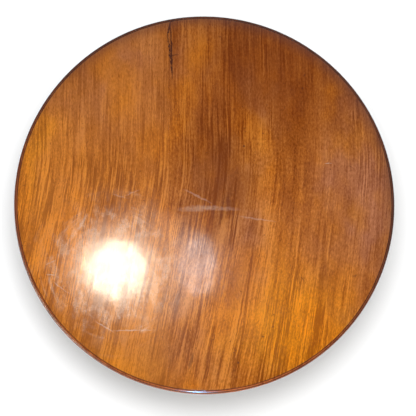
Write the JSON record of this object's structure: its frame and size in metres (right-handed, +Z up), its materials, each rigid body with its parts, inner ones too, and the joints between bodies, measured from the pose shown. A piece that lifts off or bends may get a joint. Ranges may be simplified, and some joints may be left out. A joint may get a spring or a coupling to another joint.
{
  "type": "tilt-top breakfast table",
  "caption": "Round tilt-top breakfast table: a moulded mahogany top that tips up on a block with a spring catch, on a turned pillar with downswept legs and brass castors.",
  "frame": {"origin": "on the floor under the axis of the pillar, which is also the centre of the round top", "axes": "+Z up; Y along the grain of the top and along the line of the pivots; +X towards the pivots, -X towards the catch"},
  "size_m": [1.2, 1.2, 0.735],
  "materials": {
    "mahogany_top": "french polished",
    "mahogany_base": "french polished",
    "brass": "cast, aged",
    "iron": "wrought, dark",
    "steel": "plain"
  },
  "bodies": {
    "base": {"block": "mahogany_base", "pillar": "mahogany_base", "keeper": "brass", "keeper_screw_front": "brass", "keeper_screw_back": "brass", "tenon_wedge_left": "mahogany_base", "tenon_wedge_right": "mahogany_base", "pivot_pin_front": "iron", "pivot_pin_back": "iron", "leg_plate": "iron", "leg_1": "mahogany_base", "plate_screw_1": "iron", "toe_cap_1": "brass", "cap_screw_1": "brass", "pintle_1": "brass", "leg_2": "mahogany_base", "plate_screw_2": "iron", "toe_cap_2": "brass", "cap_screw_2": "brass", "pintle_2": "brass", "leg_3": "mahogany_base", "plate_screw_3": "iron", "toe_cap_3": "brass", "cap_screw_3": "brass", "pintle_3": "brass"},
    "top": {"top_board_left": "mahogany_top", "top_board_middle": "mahogany_top", "top_board_right": "mahogany_top", "bearer_front": "mahogany_base", "bearer_back": "mahogany_base", "catch_case": "brass", "catch_spring": "steel", "bearer_screw_1": "steel", "bearer_screw_2": "steel", "bearer_screw_3": "steel", "bearer_screw_4": "steel", "bearer_screw_5": "steel", "bearer_screw_6": "steel", "catch_screw_1": "brass", "catch_screw_2": "brass", "catch_screw_3": "brass", "catch_screw_4": "brass"},
    "catch_bolt": {"catch_bolt": "brass", "catch_knob": "brass"},
    "castor_1": {"castor_fork_1": "brass", "castor_axle_1": "steel"},
    "wheel_1": {"castor_wheel_1": "brass"},
    "castor_2": {"castor_fork_2": "brass", "castor_axle_2": "steel"},
    "wheel_2": {"castor_wheel_2": "brass"},
    "castor_3": {"castor_fork_3": "brass", "castor_axle_3": "steel"},
    "wheel_3": {"castor_wheel_3": "brass"}
  },
  "joints": [
    {"name": "top_tilt", "type": "hinge", "parent": "base", "child": "top", "pos_m": [0.1243, 0, 0.684], "axis": [0, 1, 0], "range_deg": [0, 90]},
    {"name": "catch_slide", "type": "slide", "parent": "top", "child": "catch_bolt", "axis": [1, 0, 0], "range_m": [0, 0.01], "stiffness_N_per_m": 300, "springref_m": 0.02},
    {"name": "castor_swivel_1", "type": "hinge", "parent": "base", "child": "castor_1", "pos_m": [0.21965, 0.38044, 0.045], "axis": [0, 0, 1], "continuous": true},
    {"name": "wheel_spin_1", "type": "hinge", "parent": "castor_1", "child": "wheel_1", "pos_m": [0.22765, 0.3943, 0.01877], "axis": [-0.866, 0.5, 0], "continuous": true},
    {"name": "castor_swivel_2", "type": "hinge", "parent": "base", "child": "castor_2", "pos_m": [-0.4393, 0, 0.045], "axis": [0, 0, 1], "continuous": true},
    {"name": "wheel_spin_2", "type": "hinge", "parent": "castor_2", "child": "wheel_2", "pos_m": [-0.4553, 0, 0.01877], "axis": [0, -1, 0], "continuous": true},
    {"name": "castor_swivel_3", "type": "hinge", "parent": "base", "child": "castor_3", "pos_m": [0.21965, -0.38044, 0.045], "axis": [0, 0, 1], "continuous": true},
    {"name": "wheel_spin_3", "type": "hinge", "parent": "castor_3", "child": "wheel_3", "pos_m": [0.22765, -0.3943, 0.01877], "axis": [0.866, 0.5, 0], "continuous": true}
  ]
}
